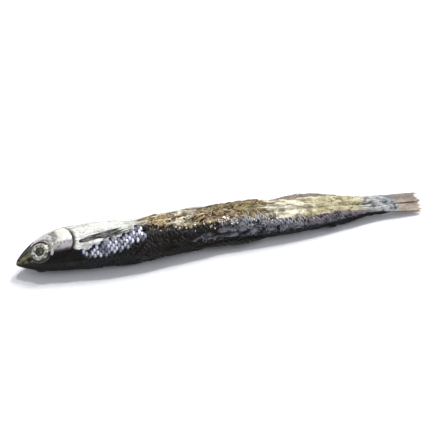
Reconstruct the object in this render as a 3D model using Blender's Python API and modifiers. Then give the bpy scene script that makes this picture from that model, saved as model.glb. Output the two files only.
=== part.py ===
"""A small smoked fish, a smelt dried whole, lying on its side.

Blender 4.5, metres, +Z up. The snout points to -X, the back to -Y, and the fish's right flank is up,
rolled a little towards -Y as such a fish settles on its heavy back. It rests on a small pressed flat.

The shape is worked out in the fish's own millimetres, straight and upright: along from the snout,
up towards the back, and out towards the right flank. place() bends, rolls and seats those points.
"""

import math

import bmesh
import bpy
import numpy as np
from mathutils import Vector, noise

MM = 0.001

# Driving sizes of the whole fish
TOTAL_LENGTH = 150.0
FLESH_LENGTH = 141.5
BODY_DEPTH = 17.4
BODY_WIDTH = 12.0
HEAD_LENGTH = 20.5

# How it lies
ROLL = math.radians(22.0)
PRESSED = 0.85
BOX_CENTRE_X = 75.03
BOX_CENTRE_Y = -2.18

# Body sections: along as a share of TOTAL_LENGTH, back and belly as shares of BODY_DEPTH, half width of BODY_WIDTH
SECTIONS = np.array(
    [
        (0.000, 0.000, 0.000, 0.000),
        (0.010, 0.085, 0.110, 0.145),
        (0.030, 0.185, 0.240, 0.265),
        (0.060, 0.315, 0.375, 0.385),
        (0.095, 0.400, 0.450, 0.445),
        (0.140, 0.465, 0.490, 0.475),
        (0.215, 0.505, 0.495, 0.500),
        (0.300, 0.490, 0.465, 0.490),
        (0.385, 0.475, 0.445, 0.480),
        (0.520, 0.455, 0.430, 0.460),
        (0.630, 0.415, 0.390, 0.415),
        (0.720, 0.365, 0.345, 0.350),
        (0.800, 0.305, 0.290, 0.265),
        (0.865, 0.235, 0.230, 0.160),
        (0.910, 0.195, 0.200, 0.090),
    ]
)
STALK_END = 0.910 * TOTAL_LENGTH

# The line of the body, in mm: along, shift towards the belly, sag towards the left flank
BODY_LINE = np.array(
    [
        (0.0, -0.6, 0.9),
        (10.0, 1.1, 0.4),
        (21.0, 1.9, 0.1),
        (45.0, 1.5, 0.0),
        (62.0, 2.6, 0.6),
        (80.0, 3.2, 1.2),
        (100.0, 2.3, 1.6),
        (120.0, 2.0, 2.3),
        (138.0, 1.2, 2.9),
        (150.0, 0.4, 3.2),
    ]
)

# Head
EYE_ALONG = 8.8
EYE_ANGLE = math.radians(84.0)
EYE_RADIUS = 3.0
EYE_BULGE = 1.0
ORBIT_RADIUS = 3.75
ORBIT_RIM = 0.5
GILL_FRONT = 12.8
GILL_MID_ANGLE = math.radians(97.0)
GILL_SPAN = math.radians(56.0)
GILL_ROUNDING = 3.8
GILL_LIFT = 0.6
GILL_PLATE = 1.5
MOUTH_START = (-1.0, 0.2)
MOUTH_CORNER = (7.0, -4.1)
MOUTH_OPEN = 0.9
MOUTH_PINCH = 0.12

# Shrunken flesh
FURROW_DEPTH = 0.55
HOLLOW_DEPTH = 0.9
NAPE_DEPTH = 0.35
TEAR_ALONG = 56.5
TEAR_COSINE = -0.55
TEAR_SWELL = 0.9
WRINKLE_DEPTH = 0.6
WRINKLE_LENGTH = 13.0
WRINKLE_GIRTH = 3.0

# Fins
FIN_THICKNESS = 0.8
SIDE_FIN_THICKNESS = 1.1
FIN_ROOT = 1.3
FIN_PROUD = 0.55
FIN_LEAN = 1.2
FIN_FRAY = 0.10
RAY_HEIGHT = 0.13
TAIL_TIP_DEPTH = 7.8
TAIL_OVERLAP = 0.35

# Mesh fineness
BODY_RINGS = 72
BODY_AROUND = 32
HEAD_CROWDING = 1.22

SKIN_COLOUR = (0.115, 0.085, 0.045, 1.0)
SKIN_ROUGHNESS = 0.42


def curve_through(x, points_x, points_y):
    """A smooth curve through the given points, read at every x."""
    slopes = np.gradient(points_y, points_x)
    i = np.clip(np.searchsorted(points_x, x) - 1, 0, len(points_x) - 2)
    step = points_x[i + 1] - points_x[i]
    t = np.clip((x - points_x[i]) / step, 0.0, 1.0)
    return (
        (2 * t**3 - 3 * t**2 + 1) * points_y[i]
        + (t**3 - 2 * t**2 + t) * step * slopes[i]
        + (3 * t**2 - 2 * t**3) * points_y[i + 1]
        + (t**3 - t**2) * step * slopes[i + 1]
    )


def section_sizes(along):
    """Back, belly and half width of the body at each place along it. Squares are smoothed, so the snout is round."""
    share = np.clip(along, 0.0, STALK_END) / TOTAL_LENGTH
    scales = (BODY_DEPTH, BODY_DEPTH, BODY_WIDTH)
    sizes = [
        scale * np.sqrt(np.clip(curve_through(share, SECTIONS[:, 0], column**2), 0.0, None))
        for scale, column in zip(scales, SECTIONS[:, 1:].T)
    ]
    # The fleshy stalk ends in a half round inside the tail fin.
    past = np.clip((along - STALK_END) / (FLESH_LENGTH - STALK_END), 0.0, 1.0)
    return [size * np.sqrt(1.0 - past**2) for size in sizes]


def bump(x, middle, spread):
    return np.exp(-(((x - middle) / spread) ** 2))


def between(x, start, end, fade):
    """1 from start to end, fading to 0 over fade on both sides."""
    ramp = np.clip(np.minimum(x - start, end - x) / fade + 1.0, 0.0, 1.0)
    return ramp * ramp * (3.0 - 2.0 * ramp)


def creases(along, angle):
    """Shallow creases that run lengthwise, as dried skin has."""
    along, angle = np.broadcast_arrays(along, angle)
    reach = 0.5 * BODY_WIDTH / WRINKLE_GIRTH
    depths = [
        noise.fractal(Vector((a / WRINKLE_LENGTH, reach * math.cos(turn), reach * math.sin(turn))), 0.9, 2.1, 3)
        for a, turn in zip(along.ravel(), angle.ravel())
    ]
    fades = between(along, HEAD_LENGTH + 6.0, 134.0, 5.0)
    return WRINKLE_DEPTH * np.reshape(depths, along.shape) * fades


def shrinkage(along, angle):
    """How far the dried skin lies outside the plain section, in mm."""
    cosine = np.cos(angle)
    furrow = -FURROW_DEPTH * bump(cosine, 0.02, 0.15) * between(along, 30.0, 128.0, 12.0)
    hollow = -HOLLOW_DEPTH * bump(cosine, -0.62, 0.22) * between(along, 34.0, 78.0, 10.0)
    nape = -NAPE_DEPTH * bump(along, HEAD_LENGTH + 1.6, 1.7) * bump(cosine, -0.1, 0.75)
    socket_gap = np.hypot(along - EYE_ALONG, 7.0 * (np.abs(angle) - EYE_ANGLE))
    socket = -0.9 * bump(socket_gap, 0.0, 2.8)
    torn = np.where(angle > 0.0, TEAR_SWELL, 0.0) * bump(cosine, TEAR_COSINE, 0.24)
    swell = torn * (bump(along, TEAR_ALONG, 4.2) - 0.9 * bump(along, TEAR_ALONG + 11.0, 4.5))
    return furrow + hollow + nape + socket + swell + creases(along, angle)


def skin_point(along, angle, lift=0.0):
    """Places on the skin in the fish's own frame. Angle is 0 on the back, a quarter turn on the right flank."""
    back, belly, half_width = section_sizes(along)
    cosine, sine = np.cos(angle), np.sin(angle)
    keel = 1.0 + 0.09 * cosine - 0.20 * np.clip(-cosine, 0.0, 1.0) ** 2
    height = np.where(cosine > 0.0, back, belly) * cosine
    out = half_width * keel * np.sign(sine) * np.abs(sine) ** 0.86
    radius = np.hypot(height, out) + 1e-6
    push = (lift + shrinkage(along, angle)) * np.minimum(radius / 2.5, 1.0)
    return along, height * (1.0 + push / radius), out * (1.0 + push / radius)


def lying(along, height, out):
    """The bent and rolled fish, in mm, not yet seated on the ground."""
    height = height - curve_through(along, BODY_LINE[:, 0], BODY_LINE[:, 1])
    out = out - curve_through(along, BODY_LINE[:, 0], BODY_LINE[:, 2])
    x = along - BOX_CENTRE_X
    y = BOX_CENTRE_Y - height * math.cos(ROLL) - out * math.sin(ROLL)
    z = out * math.cos(ROLL) - height * math.sin(ROLL)
    return x, y, z


def seat_height():
    """How far the body's middle line is above the ground, with the lowest flesh pressed flat."""
    along, angle = np.meshgrid(np.linspace(5.0, 130.0, 251), np.linspace(-math.pi, math.pi, 181))
    return -lying(*skin_point(along, angle))[2].min() - PRESSED


SEAT = seat_height()


def place(along, height, out):
    x, y, z = lying(along, height, out)
    return np.stack([x, y, z + SEAT], axis=-1) * MM


def move_points(obj, points):
    obj.data.vertices.foreach_set("co", np.ascontiguousarray(points, np.float32).ravel())
    obj.data.update()


def points_of(obj):
    flat = np.empty(len(obj.data.vertices) * 3, np.float32)
    obj.data.vertices.foreach_get("co", flat)
    return flat.reshape(-1, 3).astype(float)


def put_in(obj, collection, name):
    obj.name = name
    for other in list(obj.users_collection):
        other.objects.unlink(obj)
    collection.objects.link(obj)
    return obj


def make_body(collection):
    """Head, trunk and tail stalk as one sphere, drawn out through the body's sections."""
    bpy.ops.mesh.primitive_uv_sphere_add(segments=BODY_AROUND, ring_count=BODY_RINGS)
    body = put_in(bpy.context.object, collection, "smoked_fish")
    ball = points_of(body)
    along = FLESH_LENGTH * (np.arccos(np.clip(ball[:, 2], -1.0, 1.0)) / math.pi) ** HEAD_CROWDING
    angle = np.arctan2(ball[:, 1], ball[:, 0])
    move_points(body, place(*skin_point(along, angle)))
    return body


def skin_frame(along, angle):
    """A place on the skin with its lengthwise, girthwise and outward directions."""
    step = 0.05
    here = place(*skin_point(np.float64(along), np.float64(angle)))
    ahead = place(*skin_point(np.float64(along + step), np.float64(angle)))
    round_it = place(*skin_point(np.float64(along), np.float64(angle + step)))
    lengthwise = Vector(ahead - here).normalized()
    outward = lengthwise.cross(Vector(round_it - here)).normalized()
    return Vector(here), lengthwise, outward.cross(lengthwise), outward


def set_on_skin(obj, along, angle, stretch):
    """Moves an object made at the origin onto the skin, its Z outwards. A left side keeps its Z outwards too."""
    here, lengthwise, girthwise, outward = skin_frame(along, angle)
    axes = np.array([lengthwise, girthwise, outward])
    if axes[2] @ np.array(place(along, 0.0, 0.0) - np.array(here)) > 0.0:
        axes[1:] *= -1.0
    local = points_of(obj) * np.array(stretch) * MM
    move_points(obj, np.array(here) + local @ axes)


def make_eye(side, name, collection):
    bpy.ops.mesh.primitive_uv_sphere_add(segments=18, ring_count=8)
    ball = put_in(bpy.context.object, collection, "eyeball_" + name)
    set_on_skin(ball, EYE_ALONG, side * EYE_ANGLE, (EYE_RADIUS, EYE_RADIUS, EYE_BULGE))
    bpy.ops.mesh.primitive_torus_add(
        major_segments=22, minor_segments=6, major_radius=ORBIT_RADIUS, minor_radius=ORBIT_RIM
    )
    rim = put_in(bpy.context.object, collection, "orbit_" + name)
    set_on_skin(rim, EYE_ALONG, side * EYE_ANGLE, (1.0, 1.0, 1.0))


def make_mouth_cutter(collection):
    """A wedge across the snout. The cut that it leaves parts the jaws."""
    bpy.ops.mesh.primitive_cube_add(size=1.0)
    wedge = put_in(bpy.context.object, collection, "mouth")
    share, side, width = (points_of(wedge) + 0.5).T
    along = MOUTH_START[0] + (MOUTH_CORNER[0] - MOUTH_START[0]) * share
    line = MOUTH_START[1] + (MOUTH_CORNER[1] - MOUTH_START[1]) * share
    gap = MOUTH_OPEN + (MOUTH_PINCH - MOUTH_OPEN) * share
    # place() mirrors, so the cube is mirrored first and its faces stay outwards.
    move_points(wedge, place(along, line + gap * (0.5 - side), BODY_WIDTH * (width - 0.5)))
    return wedge


def make_sheet(name, across, lengthwise, thickness, point_at, collection):
    """A thin closed sheet. point_at turns shares across and lengthwise, both 0 to 1, into places in metres."""
    bpy.ops.mesh.primitive_grid_add(x_subdivisions=across, y_subdivisions=lengthwise, size=1.0)
    sheet = put_in(bpy.context.object, collection, name)
    grid = points_of(sheet)
    move_points(sheet, point_at(grid[:, 0] + 0.5, grid[:, 1] + 0.5))
    wall = sheet.modifiers.new("wall", "SOLIDIFY")
    wall.thickness = thickness * MM
    wall.offset = 0.0
    return sheet


def make_gill_cover(side, name, collection):
    """The bony plate behind the eye. Its rounded rear edge stands off the body."""

    def point_at(across, lengthwise):
        turn = 2.0 * across - 1.0
        angle = GILL_MID_ANGLE + GILL_SPAN * turn
        rear = HEAD_LENGTH - GILL_ROUNDING * turn**2
        front = GILL_FRONT + 0.6 * turn
        along = front + (rear - front) * lengthwise
        standing = 1.0 - turn**4
        lift = GILL_LIFT * lengthwise**2 * standing - 0.2 * (1.0 - standing) - 0.5 * GILL_PLATE
        return place(*skin_point(along, side * angle, lift))

    make_sheet("gill_cover_" + name, 12, 7, GILL_PLATE, point_at, collection)


def ray_ripple(across, lengthwise, rays):
    return RAY_HEIGHT * np.cos(2.0 * math.pi * rays * across) * np.minimum(4.0 * lengthwise, 1.0)


def ragged_tip(across, rays, depth):
    """Shortens a fin between its rays, as a dried edge breaks."""
    return 1.0 - depth * (0.5 - 0.5 * np.cos(2.0 * math.pi * rays * across))


def make_middle_fin(name, start, peak, end, peak_height, end_height, rays, collection):
    """A folded fin along the back (heights above 0) or the belly (below 0). It stands in the fish's middle plane."""
    ridge_angle = 0.0 if peak_height > 0.0 else math.pi

    def point_at(across, lengthwise):
        along = start + (end - start) * across
        rising = abs(peak_height) * np.clip((along - start) / (peak - start), 0.0, 1.0) ** 0.7
        falling = abs(end_height) + abs(peak_height - end_height) * np.clip((end - along) / (end - peak), 0.0, 1.0)
        edge = np.minimum(rising, falling) * ragged_tip(across, rays, FIN_FRAY)
        lift = (edge + FIN_ROOT) * lengthwise - FIN_ROOT
        _, ridge, _ = skin_point(along, ridge_angle)
        out = ray_ripple(across, lengthwise, rays) + 0.3 * np.sin(4.0 * across)
        return place(along + FIN_LEAN * edge * lengthwise, ridge + np.sign(ridge) * lift, out)

    make_sheet(name, 2 * rays + 1, 4, FIN_THICKNESS, point_at, collection)


def make_side_fin(name, side, root_along, tip_along, root_angles, tip_angles, rays, collection):
    """A paired fin folded back against the flank."""

    def point_at(across, lengthwise):
        reach = lengthwise * ragged_tip(across, rays, FIN_FRAY)
        along = root_along + (tip_along - root_along) * reach
        root_angle = root_angles[0] + (root_angles[1] - root_angles[0]) * across
        tip_angle = tip_angles[0] + (tip_angles[1] - tip_angles[0]) * across
        angle = np.radians(root_angle + (tip_angle - root_angle) * reach)
        lift = FIN_PROUD * np.sqrt(reach) - 0.5 * SIDE_FIN_THICKNESS + ray_ripple(across, lengthwise, rays)
        return place(*skin_point(along, side * angle, lift))

    make_sheet(name, 2 * rays + 1, 8, SIDE_FIN_THICKNESS, point_at, collection)


def make_tail_lobe(name, upper, collection):
    """One half of the closed tail fin. The lower lobe lies a little over the upper one."""
    rays = 4
    sign = 1.0 if upper else -1.0

    def point_at(across, lengthwise):
        reach = lengthwise * ragged_tip(across, rays, FIN_FRAY) * (1.0 - 0.05 * across * (not upper))
        along = STALK_END - 4.0 + (TOTAL_LENGTH - STALK_END + 4.0) * reach
        root_height = 0.30 * BODY_DEPTH * 0.66
        tip_height = 0.5 * TAIL_TIP_DEPTH
        inner = TAIL_OVERLAP * (1.2 * reach - 1.0)
        height = inner + (root_height + (tip_height - root_height) * reach - inner) * across
        out = ray_ripple(across, lengthwise, rays) - sign * 0.22 * reach + 0.35 * np.sin(4.0 * reach) * across
        return place(along, sign * height, out)

    make_sheet(name, 2 * rays + 1, 8, FIN_THICKNESS, point_at, collection)


def make_fins(collection):
    make_tail_lobe("tail_upper", True, collection)
    make_tail_lobe("tail_lower", False, collection)
    make_middle_fin("back_fin", 63.0, 76.0, 87.0, 2.2, 0.9, 6, collection)
    make_middle_fin("fatty_fin", 108.0, 112.0, 115.0, 1.3, 0.9, 1, collection)
    make_middle_fin("vent_fin", 94.0, 103.0, 118.0, -2.0, -0.8, 7, collection)
    for side, name in ((1.0, "right"), (-1.0, "left")):
        make_side_fin("breast_fin_" + name, side, 21.5, 43.0, (92.0, 112.0), (124.0, 134.0), 4, collection)
        make_side_fin("belly_fin_" + name, side, 60.0, 73.0, (146.0, 166.0), (150.0, 160.0), 3, collection)


def add_boolean(body, name, operation):
    """The shapes are all closed, and some sheets ripple into each other, which the MANIFOLD solver takes best."""
    change = body.modifiers.new(name, "BOOLEAN")
    change.operation = operation
    change.solver = "MANIFOLD"
    return change


def shell_of(face, left):
    """The faces connected to this one, taken out of the set of those left."""
    shell, waiting = {face}, [face]
    while waiting:
        beside = {near for edge in waiting.pop().edges for near in edge.link_faces} & left
        left -= beside
        shell |= beside
        waiting.extend(beside)
    return shell


def keep_outer_shell(mesh):
    """Fills the tiny pockets that a folded fin seals against the flank, and drops loose scraps."""
    work = bmesh.new()
    work.from_mesh(mesh)
    left, shells = set(work.faces), []
    while left:
        shells.append(shell_of(left.pop(), left))
    shells.sort(key=len)
    scraps = [face for shell in shells[:-1] for face in shell]
    bmesh.ops.delete(work, geom=scraps, context="FACES")
    work.to_mesh(mesh)
    work.free()


def join_and_press(body, joined, cutters):
    """Joins the collected solids to the body and cuts what is below the ground, for good. The cut is the flat rest."""
    join = add_boolean(body, "join", "UNION")
    join.operand_type = "COLLECTION"
    join.collection = joined
    bpy.ops.mesh.primitive_cube_add(size=1.0)
    ground = put_in(bpy.context.object, cutters, "ground")
    block = np.array((2.0 * TOTAL_LENGTH, 4.0 * BODY_DEPTH, BODY_DEPTH)) * MM
    move_points(ground, points_of(ground) * block - (0.0, 0.0, 0.5 * block[2]))
    add_boolean(body, "press", "DIFFERENCE").object = ground
    add_boolean(body, "part_jaws", "DIFFERENCE").object = make_mouth_cutter(cutters)
    for cutter in cutters.objects:
        cutter.hide_render = True
        cutter.display_type = "WIRE"
    bpy.context.view_layer.update()
    graph = bpy.context.evaluated_depsgraph_get()
    whole = bpy.data.meshes.new_from_object(body.evaluated_get(graph))
    keep_outer_shell(whole)
    body.modifiers.clear()
    body.data = whole
    for obj in list(joined.objects):
        bpy.data.objects.remove(obj)
    bpy.data.collections.remove(joined)


def finish_skin(body):
    skin = bpy.data.materials.new("smoked_skin")
    skin.use_nodes = True
    shader = skin.node_tree.nodes["Principled BSDF"]
    shader.inputs["Base Color"].default_value = SKIN_COLOUR
    shader.inputs["Roughness"].default_value = SKIN_ROUGHNESS
    shader.inputs["Metallic"].default_value = 0.0
    skin.diffuse_color = SKIN_COLOUR
    body.data.materials.clear()
    body.data.materials.append(skin)
    body.data.shade_smooth()
    body.data.set_sharp_from_angle(angle=math.radians(40.0))


def main():
    for obj in list(bpy.data.objects):
        bpy.data.objects.remove(obj)
    fish = bpy.data.collections.new("fish")
    joined = bpy.data.collections.new("to_join")
    cutters = bpy.data.collections.new("cutters")
    for collection in (fish, joined, cutters):
        bpy.context.scene.collection.children.link(collection)
    body = make_body(fish)
    for side, name in ((1.0, "right"), (-1.0, "left")):
        make_eye(side, name, joined)
        make_gill_cover(side, name, joined)
    make_fins(joined)
    join_and_press(body, joined, cutters)
    finish_skin(body)


main()
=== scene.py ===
"""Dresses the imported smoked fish: its scaled and creased skin, eyes, gill covers, jaws, fins and torn belly.

The fish is a smelt, smoked whole, lying on its left flank with the snout to -X and the back to -Y. Shapes
are worked out in the fish's own millimetres, as on a straight and upright fish: along from the snout,
an angle round the body that is 0 on the back and a quarter turn on the right flank, and a lift off the
skin. place() bends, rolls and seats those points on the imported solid.
"""

import math

import bmesh
import bpy
import numpy as np
from bpy.props import FloatProperty, FloatVectorProperty, IntProperty, PointerProperty
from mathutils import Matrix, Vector, noise


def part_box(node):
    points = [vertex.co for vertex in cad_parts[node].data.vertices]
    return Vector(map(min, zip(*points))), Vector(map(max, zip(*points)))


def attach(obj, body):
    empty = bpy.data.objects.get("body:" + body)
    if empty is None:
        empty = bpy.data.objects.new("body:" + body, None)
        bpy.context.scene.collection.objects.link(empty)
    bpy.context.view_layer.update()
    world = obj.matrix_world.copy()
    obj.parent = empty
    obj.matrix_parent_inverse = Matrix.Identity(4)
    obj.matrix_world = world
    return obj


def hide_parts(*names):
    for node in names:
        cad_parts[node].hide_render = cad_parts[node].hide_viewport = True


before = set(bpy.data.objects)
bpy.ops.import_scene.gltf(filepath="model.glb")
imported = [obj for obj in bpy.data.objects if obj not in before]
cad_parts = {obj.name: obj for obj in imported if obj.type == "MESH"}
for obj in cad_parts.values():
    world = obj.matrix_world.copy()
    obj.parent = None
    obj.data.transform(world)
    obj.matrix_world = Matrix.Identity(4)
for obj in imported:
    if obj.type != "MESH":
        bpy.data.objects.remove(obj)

bl_info = {
    "name": "Smoked Fish",
    "version": (1, 0, 0),
    "blender": (4, 5, 0),
    "location": "3D View > Sidebar > Fish",
    "description": "Dresses a small smoked fish with scales, fins, eyes and a torn belly",
    "category": "Object",
}

MM = 0.001
NODE = "smoked_fish"
SIDES = ((1.0, "right"), (-1.0, "left"))

# The solid's driving sizes
TOTAL_LENGTH = 150.0
FLESH_LENGTH = 141.5
BODY_DEPTH = 17.4
BODY_WIDTH = 12.0
HEAD_LENGTH = 20.5
ROLL = math.radians(22.0)
PRESSED = 0.85
BOX_CENTRE_X = 75.03
BOX_CENTRE_Y = -2.18

# Body sections: along as a share of TOTAL_LENGTH, back and belly of BODY_DEPTH, half width of BODY_WIDTH
SECTIONS = np.array(
    [
        (0.000, 0.000, 0.000, 0.000),
        (0.010, 0.085, 0.110, 0.145),
        (0.030, 0.185, 0.240, 0.265),
        (0.060, 0.315, 0.375, 0.385),
        (0.095, 0.400, 0.450, 0.445),
        (0.140, 0.465, 0.490, 0.475),
        (0.215, 0.505, 0.495, 0.500),
        (0.300, 0.490, 0.465, 0.490),
        (0.385, 0.475, 0.445, 0.480),
        (0.520, 0.455, 0.430, 0.460),
        (0.630, 0.415, 0.390, 0.415),
        (0.720, 0.365, 0.345, 0.350),
        (0.800, 0.305, 0.290, 0.265),
        (0.865, 0.235, 0.230, 0.160),
        (0.910, 0.195, 0.200, 0.090),
    ]
)
STALK_END = 0.910 * TOTAL_LENGTH

# The line of the body, in mm: along, shift towards the belly, sag towards the left flank
BODY_LINE = np.array(
    [
        (0.0, -0.6, 0.9),
        (10.0, 1.1, 0.4),
        (21.0, 1.9, 0.1),
        (45.0, 1.5, 0.0),
        (62.0, 2.6, 0.6),
        (80.0, 3.2, 1.2),
        (100.0, 2.3, 1.6),
        (120.0, 2.0, 2.3),
        (138.0, 1.2, 2.9),
        (150.0, 0.4, 3.2),
    ]
)

# Head. COVER_BOTTOM is where the gill cover's plate starts, as a share of GILL_SPAN
EYE_ALONG = 8.8
EYE_ANGLE = math.radians(84.0)
GILL_FRONT = 12.8
GILL_MID_ANGLE = math.radians(97.0)
GILL_SPAN = math.radians(56.0)
GILL_ROUNDING = 3.8
GILL_LIFT = 0.6
COVER_BOTTOM = -0.52
MOUTH_START = (-1.0, 0.2)
MOUTH_CORNER = (7.0, -4.1)

# Eyes, in mm: radius and height of the ball and the pupil, profile of the iris, middle and halves of the fold
EYEBALL = (3.75, 0.75)
PUPIL = (1.95, 0.86)
IRIS = ((1.6, 0.7), (1.8, 0.86), (2.3, 0.92), (2.8, 0.84), (3.15, 0.58), (3.05, 0.2), (1.7, 0.2))
EYE_FOLD = (3.85, 0.04)
EYE_FOLD_HALF = (0.24, 0.26)

# Shrunken flesh
FURROW_DEPTH = 0.55
HOLLOW_DEPTH = 0.9
NAPE_DEPTH = 0.35
SOCKET_DEPTH = 0.9
SOCKET_RADIUS = 2.8
TEAR_ALONG = 56.5
TEAR_COSINE = -0.55
TEAR_SWELL = 0.9
WRINKLE_DEPTH = 0.6
WRINKLE_LENGTH = 13.0
WRINKLE_GIRTH = 3.0

# Fine relief of the skin, in mm
SCALE_BED_DEPTH = 0.14
SLIT_DEPTH = 1.0
GILL_GAP_DEPTH = 0.55
SHOULDER_HEIGHT = 0.25
NOSTRIL_ALONG = 4.6
NOSTRIL_DEPTH = 0.5
THROAT_DEPTH = 0.12
SKULL_HEIGHT = 0.16
MUSCLE_HEIGHT = 0.10
MUSCLE_SPACING = 3.6
CRUMPLE_HEIGHT = 0.62
STALK_TAPER = 1.9
RAY_ROOT_HEIGHT = 0.10

# Bony plates: columns and rows of their grids, thickness in mm
PLATES = {
    "gill_cover": (56, 48, 0.3),
    "cheek": (16, 60, 0.2),
    "upper_jaw": (10, 36, 0.25),
    "lower_jaw": (12, 36, 0.25),
}

# Fins in the fish's middle: start, peak and end in mm along it, height at the peak and end, rays, seed
FIN_ROOT = 1.3
FIN_LEAN = 1.2
MIDDLE_FINS = {
    "back_fin": (63.0, 76.0, 87.0, 2.2, 0.9, 11, 5),
    "fatty_fin": (108.0, 112.0, 115.0, 1.3, 0.9, 2, 6),
    "vent_fin": (94.0, 103.0, 118.0, -2.0, -0.8, 18, 7),
}
# Paired fins: root and tip in mm along the fish, the two angles of each in degrees, rays, seed, blackness
SIDE_FINS = {
    "breast_fin": (22.5, 43.5, (78.0, 94.0), (100.0, 114.0), 6, 8, 1.0),
    "belly_fin": (60.0, 73.0, (146.0, 166.0), (150.0, 160.0), 7, 9, 0.2),
}
# Tail: which way each lobe goes and its seed
TAIL_LOBES = {"tail_upper": (1.0, 21), "tail_lower": (-1.0, 22)}
TAIL_RAYS = 9
TAIL_ROOT = 4.0
TAIL_ROOT_HEIGHT = 0.30 * BODY_DEPTH * 0.66
TAIL_TIP_DEPTH = 7.8
TAIL_OVERLAP = 0.35

# Mesh fineness: 0.3 mm on the trunk, which is finer than a pixel of the picture
SKIN_RINGS = 440
SKIN_AROUND = 150
HEAD_CROWDING = 1.15
FIN_COLUMNS_PER_RAY = 6

# Scales: as many round the body from gills to tail, so they shrink with the girth, as real ones do
SCALES_FROM = 23.0
SCALES_TO = 131.0
SCALES_AROUND = 26
SCALE_SIDES = 10
SCALE_STEP = 0.55
SCALE_REACH = 0.70
SCALE_SEED = 11
# How readily scales have come off each tone
SCALE_LOSS = {
    "torn": 1.5,
    "brown": 0.6,
    "green": 1.4,
    "silver": 1.6,
    "cream": 0.8,
    "gold": 0.9,
    "slate": 0.5,
    "ash": 1.5,
}
LAST_SCALES = (118.0, 130.0)

# Bits of torn flesh: middle and spread, along in mm and in degrees from the back
FIBRES_AT = ((71.5, 5.5), (108.0, 18.0))
CRUMBS_AT = ((53.0, 3.2), (116.0, 13.0))
LOOSE_STRETCH = (48.0, 98.0)
FLESH_SEED = 5

# Lower edge of the bright patch of scales on the shoulder: along in mm, angle in degrees from the back
PATCH_EDGE = np.array([(20.0, 48.0), (24.0, 44.0), (31.0, 42.0), (38.0, 54.0), (46.0, 74.0)])

# Where the dark back ends and the pale flank begins: along in mm, angle in degrees from the back
BACK_EDGE = np.array(
    [
        (0.0, 95.0),
        (6.0, 86.0),
        (12.0, 76.0),
        (20.0, 71.0),
        (23.0, 62.0),
        (33.0, 82.0),
        (44.0, 108.0),
        (52.0, 94.0),
        (62.0, 86.0),
        (74.0, 80.0),
        (88.0, 76.0),
        (102.0, 62.0),
        (118.0, 58.0),
        (132.0, 46.0),
        (142.0, 30.0),
    ]
)

# How far borders between tones wander lengthwise in mm, and round the body in degrees
BORDER_WANDER = 11.0
BORDER_RAGGED = 8.0

# Stretches of the body that have a tone of their own: start, end and fade, in mm from the snout
STRETCHES = {
    "brown": (46.0, 74.0, 8.0),
    "torn": (67.0, 76.5, 4.0),
    "slate": (76.0, 122.0, 9.0),
    "net": (82.0, 108.0, 8.0),
    "mauve": (107.0, 124.0, 6.0),
    "green": (109.0, 129.0, 9.0),
}
ZONE_GROUPS = {
    "zones_front": ("head", "blue", "silver"),
    "zones_belly": ("gold", "cream", "torn"),
    "zones_rear": ("slate", "green", "ash"),
    "zones_edge": ("brown", "net", "snout"),
    "zones_line": ("slit_shade", "mauve"),
}

# Lights: where they stand, in metres, and how wide they are
WINDOW_AT = (0.42, 0.40, 0.62)
WINDOW_SPREAD = math.radians(24.0)
ROOM_AT = (-0.35, -0.6, 0.95)
ROOM_SPREAD = math.radians(120.0)
SPARK_AT = (0.05, 0.35, 0.85)
SPARK_SIZE = 0.06

# Tones that a pattern blends, as sRGB: the dark one, the light one and what has them
PAIRS = {
    "back": ("#050404", "#151210", "near-black back"),
    "brown": ("#0a0705", "#1f170f", "browned side"),
    "blue": ("#0f0d1e", "#27254a", "indigo skin of the shoulder"),
    "slate": ("#0f1114", "#8a8992", "slate grey rear back"),
    "silver": ("#9b9c90", "#efeee9", "silver breast"),
    "gold": ("#2b2010", "#a38f62", "golden belly"),
    "cream": ("#7f7660", "#e4dcc4", "cream rear flank"),
    "green": ("#655a3c", "#d8d0aa", "yellow green tail stalk"),
    "head": ("#5c564a", "#c9c2b2", "side of the head"),
    "snout": ("#1e1a10", "#7d775e", "olive snout"),
    "mauve": ("#2a2229", "#85797f", "purplish edge before the tail"),
    "ash": ("#454a52", "#b2b3b5", "blue grey end of the stalk"),
    "torn": ("#2b1c0d", "#a58a60", "torn skin"),
    "crumb": ("#75592f", "#c9ad76", "golden crumbs of flesh"),
    "fibre": ("#4f3820", "#ab9062", "tan fibres of flesh"),
    "flake": ("#a39d8e", "#efece2", "loose scales"),
    "bone": ("#6f716a", "#a9aaa2", "gill covers"),
    "web": ("#46372b", "#9a8672", "skin between the fin rays"),
    "ray": ("#9a8672", "#c2b19f", "fin rays"),
    "ball": ("#050506", "#1d1d1e", "eyeballs"),
    "iris": ("#4c4d40", "#c6c5b5", "irises"),
    "pupil": ("#11130c", "#414334", "clouded pupils"),
    "lid": ("#1a1714", "#4e4a44", "skin folds round the eyes"),
    "paper": ("#efeff1", "#f4f4f5", "background paper"),
}
# Single tones, as sRGB, and what has them
SPOTS = {
    # Pale rear edges of the scales: partly their own tone, partly a painted highlight
    "rim": ("#9aa3ad", "rims of the scales on the rear back"),
    "net": ("#d9d8d4", "rims of the scales along the flank's edge"),
    # glint is a painted highlight: the glints on the scales of the shoulder
    "glint": ("#eef0ff", "bright scales on the shoulder"),
    # Also paints the shade in the mouth slit and in the gap behind the gill covers
    "pit": ("#1c160c", "small breaks in the skin"),
    "speck": ("#5f5a4c", "specks on the breast"),
    # Also painted as a highlight on the crests of the crumpled belly skin
    "pale_flesh_and_crest_highlight": ("#ecdcb8", "palest fibres"),
    # Partly the silver of the bone, partly a painted highlight on the gill covers
    "bone_silver_and_highlight": ("#f2efe4", "brightest part of the gill covers"),
    "bone_mauve": ("#b5aab2", "sheen of the gill covers"),
    # Darker towards the edges of the bony plates, and over the jaws
    "bone_edge": ("#191612", "worn edges of the gill covers"),
    "fin_root": ("#8b9094", "blue grey root of the tail"),
    "fin_black": ("#13170f", "breast fins"),
    "sky": ("#eef3ff", "light from all round"),
}


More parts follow.
